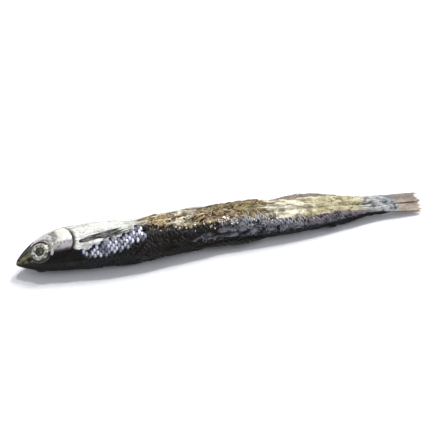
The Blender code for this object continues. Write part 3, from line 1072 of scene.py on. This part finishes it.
class FISH_OT_gill_covers(bpy.types.Operator):
    """Makes the gill covers, the cheek bones below the eyes and the jaws' plates."""

    bl_idname = "fish.gill_covers"
    bl_label = "Gill Covers and Jaws"

    def execute(self, context):
        for side, name in SIDES:
            self.make_cover(side, name)
            self.make_cheek(side, name)
            self.make_jaws(side, name)
        return {"FINISHED"}

    def make_plate(self, kind, side_name, point_at):
        """A thin bony plate. point_at turns shares across and lengthwise into places and the shares of
        each place that are bright (partly a painted highlight), mauve and dark towards the edges."""
        columns, rows, thickness = PLATES[kind]
        mesh = grid_mesh(kind + "_" + side_name, columns, rows)
        places, *tones = point_at(*shares_of(mesh))
        move_points(mesh, places)
        store(mesh, "spot", *tones)
        make_wall(finish_piece(mesh, material_of("pearly_gill_bone", gill_bone)), thickness)

    def make_cover(self, side, name):
        def point_at(across, lengthwise):
            turn = COVER_BOTTOM + (1.0 - COVER_BOTTOM) * across
            angle = GILL_MID_ANGLE + GILL_SPAN * turn
            rear = HEAD_LENGTH - GILL_ROUNDING * turn**2
            front = GILL_FRONT + 0.6 * turn
            along = front + (rear - front) * lengthwise
            standing = 1.0 - (2.0 * across - 1.0) ** 6
            rib = 0.04 * np.cos(18.0 * np.arctan2(turn + 0.9, lengthwise + 0.25)) * lengthwise
            fold = -0.12 * bump(lengthwise, 0.42 + 0.12 * turn, 0.07)
            lift = (GILL_LIFT - 0.2) * lengthwise**2 * standing - 0.2 * (1.0 - standing) + rib + fold
            lift += 0.1 - 0.4 * rise(lengthwise, 0.12, 0.0) + 0.09 * grain(along, 5.0 * angle, 0.0, 3)
            # bright is the cover's silver, with a painted highlight on its rear part away from its lower edge
            bright = rise(lengthwise, 0.2, 0.55) * rise(across, 0.24, 0.42)
            mauve = rise(lengthwise, 0.3, 0.6) * rise(across, 0.36, 0.16)
            # edge: darker towards the plate's edges
            edge = 0.8 * rise(lengthwise, 0.94, 1.0) + 0.6 * rise(lengthwise, 0.12, 0.0)
            edge += rise(across, 0.16, 0.0) + 0.8 * rise(turn, 0.93, 1.0)
            return on_skin(along, side * angle, lift), bright, mauve, edge

        self.make_plate("gill_cover", name, point_at)

    def make_cheek(self, side, name):
        def point_at(across, lengthwise):
            turn = math.radians(-32.0) + math.radians(200.0) * lengthwise
            uneven = grain(3.0 * np.cos(turn), 3.0 * np.sin(turn), 0.8 * across, 3)
            wide = (0.15 + 2.0 * crown(lengthwise) ** 0.8) * (1.0 + 0.2 * uneven)
            radius = 3.7 - 1.0 * np.sin(turn) ** 2 + wide * across
            lift = 0.08 + 0.06 * crown(across) - 0.3 * rise(across, 0.8, 1.0)
            lift -= 0.4 * rise(np.abs(2.0 * lengthwise - 1.0), 0.75, 1.0)
            lift += 0.10 * grain(2.5 * radius, 5.0 * turn, 0.0, 3)
            bright = rise(across, -0.1, 0.3) * (0.62 + 0.9 * uneven)
            mauve = 0.45 + 0.8 * uneven * across
            edge = rise(lengthwise, 0.08, 0.0) + 0.7 * rise(lengthwise, 0.93, 1.0) + rise(across, 0.84, 0.97)
            return around_eye(side, radius, turn, lift), bright, mauve, edge

        self.make_plate("cheek", name, point_at)

    def make_jaws(self, side, name):
        def upper(across, lengthwise):
            along = 0.7 + 6.3 * lengthwise
            angle = mouth_angle(along) - 0.06 - 0.32 * across * (0.9 + 0.5 * lengthwise)
            lift = 0.02 + 0.22 * crown(across) * rise(lengthwise, 0.0, 0.2)
            return on_skin(along, side * angle, lift), 0.3 * across, 0.0, 1.1 - 0.5 * lengthwise

        def lower(across, lengthwise):
            along = 0.5 + 6.6 * lengthwise
            angle = mouth_angle(along) + 0.07 + 0.55 * across * (1.0 - 0.4 * lengthwise)
            lift = 0.04 + 0.20 * crown(across) * rise(lengthwise, 0.0, 0.2)
            return on_skin(along, side * angle, lift), 0.5 * across, 0.4 * lengthwise, 1.0 - 0.3 * lengthwise

        self.make_plate("upper_jaw", name, upper)
        self.make_plate("lower_jaw", name, lower)


class FISH_OT_eyes(bpy.types.Operator):
    """Makes the dried eyes: dark balls with a pale puckered iris, a clouded pupil and a fold of skin."""

    bl_idname = "fish.eyes"
    bl_label = "Eyes"

    def execute(self, context):
        wet_black = material_of("dried_eye_black", two_toned, "ball", 0.8, 0.2)
        iris_skin = material_of("pearly_iris", two_toned, "iris", 0.9, 0.3, 0.1, 0.6)
        lens = material_of("clouded_pupil", two_toned, "pupil", 0.9, 0.3, 0.0, 0.2)
        lid = material_of("eye_fold", two_toned, "lid", 0.8, 0.35)
        turns = np.linspace(0.0, 2.0 * math.pi, 12, endpoint=False)
        circle = np.stack([np.cos(turns), np.sin(turns)], axis=-1)
        fold = np.array(EYE_FOLD) + np.array(EYE_FOLD_HALF) * circle
        for side, name in SIDES:
            self.here, self.axes = skin_frame(EYE_ALONG, side * EYE_ANGLE)
            self.set_in(self.dome("eyeball_" + name, *EYEBALL, 48), wet_black)
            self.set_in(self.ring("iris_" + name, IRIS, 72), iris_skin, pucker=0.05)
            self.set_in(self.dome("pupil_" + name, *PUPIL, 40), lens, pucker=0.05)
            self.set_in(self.ring("eye_fold_" + name, fold, 64), lid, pucker=0.02)
        return {"FINISHED"}

    def dome(self, name, radius, height, around):
        """A flattened ball, in mm."""
        work = bmesh.new()
        bmesh.ops.create_uvsphere(work, u_segments=around, v_segments=around // 2, radius=1.0)
        bmesh.ops.scale(work, vec=(radius, radius, height), verts=work.verts)
        return mesh_from(work, name)

    def ring(self, name, profile, steps):
        """A closed ring turned from a profile of (radius, height) points in mm."""
        work = bmesh.new()
        corners = [work.verts.new((radius, 0.0, height)) for radius, height in profile]
        edges = [work.edges.new(pair) for pair in zip(corners, corners[1:] + corners[:1])]
        turned = {"geom": corners + edges, "axis": (0.0, 0.0, 1.0), "cent": (0.0, 0.0, 0.0)}
        bmesh.ops.spin(work, angle=2.0 * math.pi, steps=steps, use_merge=True, **turned)
        bmesh.ops.remove_doubles(work, verts=work.verts, dist=0.001)
        bmesh.ops.recalc_face_normals(work, faces=work.faces)
        return mesh_from(work, name)

    def set_in(self, mesh, material, pucker=0.0):
        """Puckers the shape a little into six sides, as a dried eye is, and sets it in its socket."""
        local = points_of(mesh)
        turn = np.arctan2(local[:, 1], local[:, 0])
        uneven = grain(1.7 * np.cos(turn), 1.7 * np.sin(turn), local[:, 2], 2)
        local[:, :2] *= (1.0 + pucker * (0.2 * np.cos(6.0 * turn) + 0.9 * uneven))[:, None]
        local[:, 2] += 2.0 * pucker * uneven
        move_points(mesh, self.here + local @ self.axes * MM)
        face_outwards(mesh)
        finish_piece(mesh, material)


# Fins


def ray_wave(across, rays):
    return np.cos(2.0 * math.pi * rays * across)


def frayed(across, rays, depth, seed):
    """Shortens a fin's edge between rays and unevenly from ray to ray, as a dried fin breaks."""
    lengths = np.random.default_rng(seed).uniform(0.0, 1.0, rays + 2)
    each = np.interp(across * rays, np.arange(rays + 2), lengths)
    return 1.0 - depth * (0.35 * (0.5 - 0.5 * ray_wave(across, rays)) + 0.65 * each)


def tear_between_rays(mesh, rays, start, seed):
    """Takes the membrane away between rays, from a different place in each gap to the fin's edge."""
    torn_from = np.random.default_rng(seed).uniform(start, start + 0.6, rays + 1)
    work = bmesh.new()
    work.from_mesh(mesh)
    gone = []
    for face in work.faces:
        across, lengthwise, _ = face.calc_center_median() + Vector((0.5, 0.5, 0.0))
        past = lengthwise - torn_from[int(across * rays)]
        if past > 0.0 and ray_wave(across, rays) < 2.5 * past - 0.6:
            gone.append(face)
    bmesh.ops.delete(work, geom=gone, context="FACES")
    work.to_mesh(mesh)
    work.free()


class FISH_OT_fins(bpy.types.Operator):
    """Makes the closed tail fin and the folded fins on the back, belly and breast."""

    bl_idname = "fish.fins"
    bl_label = "Fins"

    def execute(self, context):
        self.thickness = context.scene.fish_sizes.fin_thickness / MM
        self.ray_height = context.scene.fish_sizes.ray_height / MM
        for name, lobe in TAIL_LOBES.items():
            self.make_tail_lobe(name, *lobe)
        for name, fin in MIDDLE_FINS.items():
            self.make_middle_fin(name, *fin)
        for side, side_name in SIDES:
            for name, fin in SIDE_FINS.items():
                self.make_side_fin(name + "_" + side_name, side, *fin)
        return {"FINISHED"}

    def make_fin(self, name, rays, rows, point_at, torn_from, seed):
        """A thin fin with rays. point_at turns shares across and lengthwise into places and the shares of
        each place that are ray, root and black."""
        mesh = grid_mesh(name, FIN_COLUMNS_PER_RAY * rays, rows)
        tear_between_rays(mesh, rays, torn_from, seed)
        places, *tones = point_at(*shares_of(mesh))
        move_points(mesh, places)
        store(mesh, "ray", *tones)
        make_wall(finish_piece(mesh, material_of("dried_fin_membrane", dried_fin)), self.thickness)

    def make_tail_lobe(self, name, sign, seed):
        upper = sign > 0.0

        def point_at(across, lengthwise):
            reach = lengthwise * frayed(across, TAIL_RAYS, 0.14, seed) * (1.0 - 0.05 * across * (not upper))
            along = STALK_END - TAIL_ROOT + (TOTAL_LENGTH - STALK_END + TAIL_ROOT) * reach
            inner = TAIL_OVERLAP * (1.2 * reach - 1.0)
            outer = TAIL_ROOT_HEIGHT + (0.5 * TAIL_TIP_DEPTH - TAIL_ROOT_HEIGHT) * reach
            height = inner + (outer - inner) * across
            wave = ray_wave(across, TAIL_RAYS) * np.minimum(4.0 * lengthwise, 1.0)
            bend = -sign * 0.22 * reach + 0.35 * np.sin(4.0 * reach) * across
            crimp = 0.10 * grain(along / 2.5, height / 1.2, sign, 2) * reach
            root = rise(along, 143.0, 137.0)
            black = 0.85 * bump(across, 0.0, 0.07) + 0.7 * bump(across, 0.62, 0.035) * rise(reach, 0.3, 0.6)
            black += 0.8 * rise(across, 0.86, 0.97) if upper else 0.3 * rise(across, 0.2, 0.6)
            relief = bend + 0.3 * self.ray_height * wave + crimp
            return place(along, sign * height, relief), 0.5 + 0.5 * wave, root, np.clip(black, 0.0, 1.0)

        self.make_fin(name, TAIL_RAYS, 44, point_at, 0.97, seed)

    def make_middle_fin(self, name, start, peak, end, peak_height, end_height, rays, seed):
        on_back = peak_height > 0.0

        def point_at(across, lengthwise):
            along = start + (end - start) * across
            rising = abs(peak_height) * np.clip((along - start) / (peak - start), 0.0, 1.0) ** 0.7
            fall = np.clip((end - along) / (end - peak), 0.0, 1.0)
            falling = abs(end_height) + abs(peak_height - end_height) * fall
            edge = np.minimum(rising, falling) * frayed(across, rays, 0.16, seed)
            lift = (edge + FIN_ROOT) * lengthwise - FIN_ROOT
            _, ridge, _ = skin_point(along, 0.0 if on_back else math.pi)
            wave = ray_wave(across - 0.09 * lengthwise, rays)
            out = 0.7 * self.ray_height * wave + 0.3 * np.sin(4.0 * across)
            places = place(along + FIN_LEAN * edge * lengthwise, ridge + np.sign(ridge) * lift, out)
            return places, 0.35 + 0.35 * wave, 0.0, 0.95 if on_back else 0.3

        self.make_fin(name, rays, 14, point_at, 0.85, seed)

    def make_side_fin(self, name, side, root_along, tip_along, root_angles, tip_angles, rays, seed, black):
        def point_at(across, lengthwise):
            reach = lengthwise * frayed(across, rays, 0.4, seed) * (1.0 - 0.22 * across)
            along = root_along + (tip_along - root_along) * reach
            across = 0.5 + (across - 0.5) * (0.35 + 0.95 * np.sqrt(reach) - 0.45 * reach**3)
            root_angle = root_angles[0] + (root_angles[1] - root_angles[0]) * across
            tip_angle = tip_angles[0] + (tip_angles[1] - tip_angles[0]) * across
            angle = np.radians(root_angle + (tip_angle - root_angle) * reach)
            wave = ray_wave(across, rays)
            lift = 0.26 * np.sqrt(reach) + 0.9 * self.ray_height * wave * np.minimum(3.0 * lengthwise, 1.0)
            lift += 0.08 * grain(along / 3.0, across * 3.0, side, 2) - 0.25 * bump(lengthwise, 0.0, 0.05)
            pale = rise(grain(along / 3.0, across * 5.0, side, 2), 0.08, 0.24)
            dark = black * (0.98 - 0.02 * wave) * (1.0 - 0.9 * pale)
            return on_skin(along, side * angle, lift), 0.5 + 0.5 * wave, black * pale, dark

        self.make_fin(name, rays, 44, point_at, 0.25, seed)


# Torn belly


class FISH_OT_torn_flesh(bpy.types.Operator):
    """Makes the dried crumbs and fibres of flesh where the right side of the belly has torn."""

    bl_idname = "fish.torn_flesh"
    bl_label = "Torn Flesh"

    def execute(self, context):
        self.rng = rng = np.random.default_rng(FLESH_SEED)
        count = context.scene.fish_sizes.fibre_count
        flesh = material_of("dried_fish_flesh", dried_flesh)
        pearl = material_of("loose_scale", two_toned, "flake", 0.6, 0.3, 0.1)
        along = rng.normal(*FIBRES_AT[0], count)
        angle = np.radians(rng.normal(*FIBRES_AT[1], count))
        along -= 5.0 * wander(along, angle)
        lengthwise = (rng.normal, math.radians(10.0), 0.25)
        self.make_bits("flesh_fibres", along, angle, (0.8, 3.0), (0.06, 0.15), lengthwise, flesh)
        along = rng.normal(*CRUMBS_AT[0], count)
        angle = np.radians(rng.normal(*CRUMBS_AT[1], count))
        any_way = (rng.uniform, -1.5, 1.5)
        self.make_bits("flesh_crumbs", along, angle, (0.2, 0.6), (0.16, 0.4), any_way, flesh)
        gathered = rng.uniform(size=count) < 0.3
        along = np.where(gathered, rng.normal(73.0, 3.5, count), rng.uniform(*LOOSE_STRETCH, count))
        angle = np.radians(back_edge(along) - 8.0 + rng.normal(0.0, 9.0, count))
        self.make_bits("loose_scales", along, angle, (0.15, 0.5), (0.12, 0.36), any_way, pearl, flat=0.2)
        return {"FINISHED"}

    def make_bits(self, name, along, angle, lengths, thicks, headings, material, flat=0.75):
        """Lays one drawn-out ball for each bit on the skin. Lengths and thicks are ranges of half its size in
        mm, and headings is a kind of random draw with its terms."""
        count = len(along)
        length, thick = (self.rng.uniform(*sizes, count) for sizes in (lengths, thicks))
        draw, *terms = headings
        heading = draw(*terms, count)
        each = self.rng.uniform(0.0, 1.0, count)
        template = bmesh.new()
        bmesh.ops.create_icosphere(template, subdivisions=2, radius=1.0)
        mesh, (ahead, aside, top), points = copies_of(template, count, name)
        bits = (along, angle, length, thick, heading, each)
        along, angle, length, thick, heading, each = (np.repeat(values, points) for values in bits)
        uneven = 1.0 + 0.45 * grain(ahead * 1.3 + along * 7.0, aside * 1.3, top * 1.3 + angle * 9.0, 2)
        tilt = (1.0 - flat) * 0.25 * (each - 0.3) * ahead
        ahead, aside = length * ahead * uneven, thick * aside * uneven
        top = flat * thick * top * uneven + tilt
        across = ahead * np.sin(heading) + aside * np.cos(heading)
        forth = ahead * np.cos(heading) - aside * np.sin(heading)
        _, up, out = skin_point(along, angle)
        move_points(mesh, on_skin(along + forth, angle + across / np.hypot(up, out), top - 0.02))
        face_outwards(mesh)
        store(mesh, "tint", each, rise(along, 58.0, 64.0))
        finish_piece(mesh, material)


# Stage


class FISH_OT_stage(bpy.types.Operator):
    """Makes the white paper floor, the soft light and the camera at the photograph's angle."""

    bl_idname = "fish.stage"
    bl_label = "Floor, Light and Camera"

    def execute(self, context):
        stage = context.scene.fish_stage
        work = bmesh.new()
        bmesh.ops.create_grid(work, x_segments=4, y_segments=4, size=0.5 * stage.floor_size)
        bmesh.ops.translate(work, vec=(0.0, 0.0, -0.02 * MM), verts=work.verts)
        floor = self.link(context, "floor", mesh_from(work, "floor"))
        floor.data.materials.append(material_of("matt_background_paper", studio_paper))
        self.light(context, "window", "SUN", WINDOW_AT, energy=stage.key_strength, angle=WINDOW_SPREAD)
        self.light(context, "room", "SUN", ROOM_AT, energy=stage.fill_strength, angle=ROOM_SPREAD)
        self.light(context, "spark", "AREA", SPARK_AT, energy=stage.spark_power, size=SPARK_SIZE)
        world = bpy.data.worlds.new("studio")
        world.use_nodes = True
        sky = {"Color": context.scene.fish_colours.sky, "Strength": stage.sky_strength}
        connect(world.node_tree, world.node_tree.nodes["Background"], sky)
        context.scene.world = world
        context.scene.view_settings.view_transform = "Standard"
        self.camera(context, stage)
        return {"FINISHED"}

    def link(self, context, name, data):
        holder = bpy.data.objects.new(name, data)
        context.scene.collection.objects.link(holder)
        return holder

    def light(self, context, name, kind, where, **settings):
        """Puts a light where it shines on the fish."""
        light = bpy.data.lights.new(name, kind)
        for setting, value in settings.items():
            setattr(light, setting, value)
        holder = self.link(context, name, light)
        holder.location = where
        holder.rotation_euler = Vector(where).to_track_quat("Z", "Y").to_euler()

    def camera(self, context, stage):
        low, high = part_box(NODE)
        target = (low + high) / 2
        around, above = stage.azimuth, stage.elevation
        level = math.cos(above)
        back = Vector((math.sin(around) * level, -math.cos(around) * level, math.sin(above)))
        lens = bpy.data.cameras.new("camera")
        lens.lens = stage.lens
        lens.clip_start = 0.01
        wide = (high.x - low.x) * math.cos(around) / stage.fill_share
        holder = self.link(context, "camera", lens)
        holder.location = target + back * (wide * lens.lens / lens.sensor_width)
        holder.rotation_euler = back.to_track_quat("Z", "Y").to_euler()
        context.scene.camera = holder


# Settings


def number(name, description, default, **kind):
    return FloatProperty(name=name, description=description, default=default, **kind)


def length(name, description, default_mm):
    return number(name, description, default_mm * MM, subtype="DISTANCE", unit="LENGTH")


def tint(name, hex_colour, description):
    kind = {"size": 4, "subtype": "COLOR", "min": 0.0, "max": 1.0}
    return FloatVectorProperty(name=name, description=description, default=linear(hex_colour), **kind)


def all_tints():
    """A colour setting for each tone of the tables PAIRS and SPOTS."""
    tints = {}
    for key, (dark, light, wearer) in PAIRS.items():
        tints[key + "_dark"] = tint(key.title() + ", Dark", dark, "Dark tone of the " + wearer)
        tints[key + "_light"] = tint(key.title() + ", Light", light, "Light tone of the " + wearer)
    for key, (tone, wearer) in SPOTS.items():
        tints[key] = tint(key.replace("_", " ").title(), tone, "Tone of the " + wearer)
    return tints


class FishSizes(bpy.types.PropertyGroup):
    """Sizes of the fine detail that is added to the solid fish."""

    wrinkle_depth: length("Wrinkle Depth", "Depth of the fine wrinkles in the dried skin", 0.09)
    scale_stand: length("Scale Stand", "How far a scale's rear edge stands up from its front edge", 0.27)
    fin_thickness: length("Fin Thickness", "Thickness of the dried fins", 0.28)
    ray_height: length("Ray Height", "Height of a fin ray over the membrane", 0.14)
    fibre_count: IntProperty(name="Fibres", description="Bits of flesh of each kind", default=130, min=1)


class FishColours(bpy.types.PropertyGroup):
    """Colours of the fish, of the paper that it lies on and of the light."""

    __annotations__ = all_tints()


class FishStage(bpy.types.PropertyGroup):
    """The floor, the lights and the camera."""

    azimuth: number("Azimuth", "Camera's turn round the fish", math.radians(-13.0), subtype="ANGLE")
    elevation: number("Elevation", "Camera's height angle", math.radians(42.0), subtype="ANGLE")
    lens: number("Lens", "Focal length in mm", 110.0, min=10.0)
    fill_share: number("Fill", "Share of the picture's width that the fish takes", 0.91, subtype="FACTOR")
    floor_size: number("Floor", "Side of the floor", 30.0, subtype="DISTANCE", unit="LENGTH")
    key_strength: number("Key", "Strength of the window light", 2.6, min=0.0)
    fill_strength: number("Room", "Strength of the room's soft light", 0.7, min=0.0)
    spark_power: number("Spark", "Power of the small light", 2.6, unit="POWER")
    sky_strength: number("Sky", "Strength of the light all round", 0.35, min=0.0)


class FISH_PT_panel(bpy.types.Panel):
    """Lists the fish's sizes and colours and the steps that make it."""

    bl_idname = "FISH_PT_panel"
    bl_label = "Smoked Fish"
    bl_space_type = "VIEW_3D"
    bl_region_type = "UI"
    bl_category = "Fish"

    def draw(self, context):
        for step in STEPS:
            self.layout.operator(step.bl_idname)
        for name in SETTINGS:
            settings = getattr(context.scene, name)
            box = self.layout.box()
            for setting in settings.__annotations__:
                box.prop(settings, setting)


STEPS = (
    FISH_OT_skin,
    FISH_OT_scales,
    FISH_OT_gill_covers,
    FISH_OT_eyes,
    FISH_OT_fins,
    FISH_OT_torn_flesh,
    FISH_OT_stage,
)
SETTINGS = {"fish_sizes": FishSizes, "fish_colours": FishColours, "fish_stage": FishStage}
CLASSES = (*SETTINGS.values(), *STEPS, FISH_PT_panel)


def register():
    for cls in CLASSES:
        bpy.utils.register_class(cls)
    for name, group in SETTINGS.items():
        setattr(bpy.types.Scene, name, PointerProperty(type=group))


def unregister():
    for name in SETTINGS:
        delattr(bpy.types.Scene, name)
    for cls in reversed(CLASSES):
        bpy.utils.unregister_class(cls)


def main():
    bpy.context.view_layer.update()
    register()
    for step in STEPS:
        group, operator = step.bl_idname.split(".")
        getattr(getattr(bpy.ops, group), operator)()


if __name__ == "__main__":
    main()
